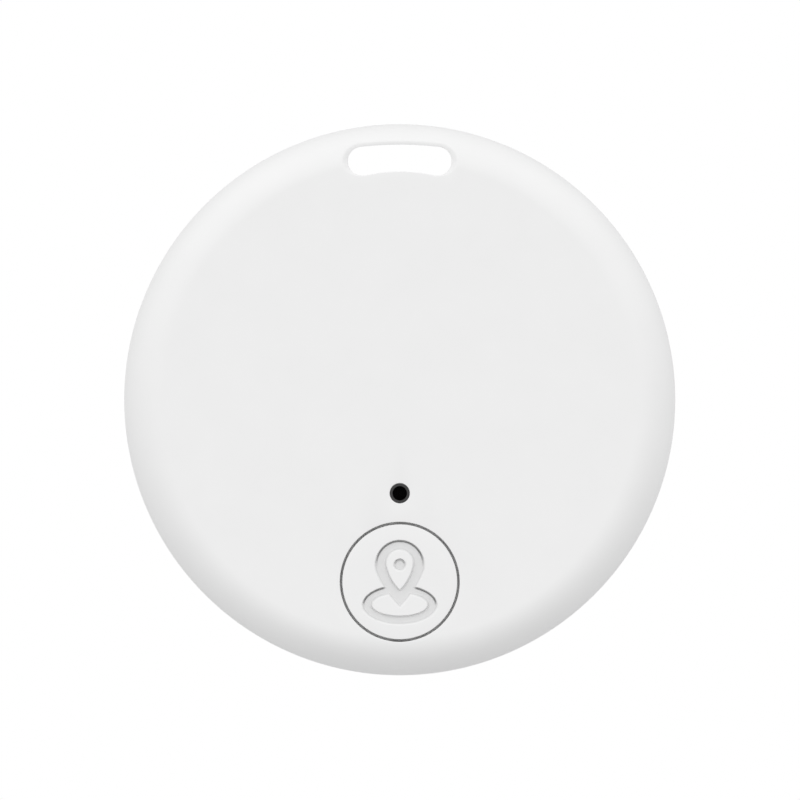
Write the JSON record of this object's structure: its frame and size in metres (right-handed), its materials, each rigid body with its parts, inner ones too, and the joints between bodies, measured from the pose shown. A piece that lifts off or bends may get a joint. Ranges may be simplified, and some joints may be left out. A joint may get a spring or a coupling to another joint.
{
  "type": "bluetooth tracker tag",
  "caption": "Flat round tracker tag with rounded edges, a lanyard slot, a flush push button with a sunk pictogram, a sound hole and a snap-together housing over a coin cell.",
  "frame": {"origin": "centre of the back face, on the surface that the tag lies on", "axes": "+Z out of the front face, +Y from the centre towards the lanyard slot, +X to the right seen from the front"},
  "size_m": [0.04, 0.04, 0.008],
  "materials": {
    "shell_plastic": "white ABS, satin moulded surface",
    "button_plastic": "white ABS, satin moulded surface",
    "black_plastic": "black moulded plastic",
    "black_mesh": "fine black acoustic mesh",
    "foam": "dark closed-cell foam",
    "switch_plastic": "dark heat-proof plastic",
    "spring_steel": "thin stamped stainless steel",
    "tin_plate": "tin-plated terminals",
    "solder_mask": "green solder mask over copper and glass epoxy",
    "chip_epoxy": "moulded chip package with tinned pads",
    "crystal_metal": "seam-welded metal lid",
    "antenna_ceramic": "glazed ceramic with silvered ends",
    "ferrite": "dark ferrite drum",
    "capacitor_ceramic": "tan ceramic with tinned ends",
    "resistor_ceramic": "black glazed film with tinned ends",
    "piezo_brass": "thin rolled brass",
    "piezo_silver": "fired silver over ceramic",
    "adhesive": "translucent adhesive ring",
    "lead_red": "red insulation",
    "lead_black": "black insulation",
    "solder": "bright solder",
    "contact_nickel": "nickel-plated phosphor bronze",
    "cell_steel": "nickel-plated steel",
    "gasket_plastic": "polypropylene ring"
  },
  "bodies": {
    "rear_case": {"rear_cover": "shell_plastic", "foam_pad": "foam"},
    "front_case": {"front_cover": "shell_plastic", "port_liner": "black_plastic", "dust_mesh": "black_mesh", "switch_base": "switch_plastic", "switch_dome": "spring_steel", "switch_cover": "spring_steel", "switch_terminals": "tin_plate", "circuit_board": "solder_mask", "radio_chip": "chip_epoxy", "main_crystal": "crystal_metal", "clock_crystal": "crystal_metal", "chip_antenna": "antenna_ceramic", "boost_inductor": "ferrite", "sounder_driver": "chip_epoxy", "chip_capacitors": "capacitor_ceramic", "chip_resistors": "resistor_ceramic", "piezo_plate": "piezo_brass", "piezo_ceramic": "piezo_silver", "piezo_adhesive": "adhesive", "piezo_lead_red": "lead_red", "piezo_lead_black": "lead_black", "solder_joints": "solder", "positive_contact": "contact_nickel", "negative_contact": "contact_nickel"},
    "button": {"button_cap": "button_plastic", "switch_plunger": "black_plastic"},
    "coin_cell": {"cell_can": "cell_steel", "cell_gasket": "gasket_plastic", "cell_cap": "cell_steel"}
  },
  "joints": [
    {"name": "cover_lift", "type": "slide", "parent": "rear_case", "child": "front_case", "axis": [0, 0, 1], "range_m": [0, 0.022]},
    {"name": "cell_lift", "type": "slide", "parent": "rear_case", "child": "coin_cell", "axis": [0, 0, 1], "range_m": [0, 0.01]},
    {"name": "button_press", "type": "slide", "parent": "front_case", "child": "button", "axis": [0, 0, -1], "range_m": [0, 0.0002], "stiffness_N_per_m": 300, "deforming": ["switch_dome"]}
  ],
  "couplings": [
    {"joint": "cell_lift", "follows": "cover_lift", "ratio": 0.45}
  ]
}
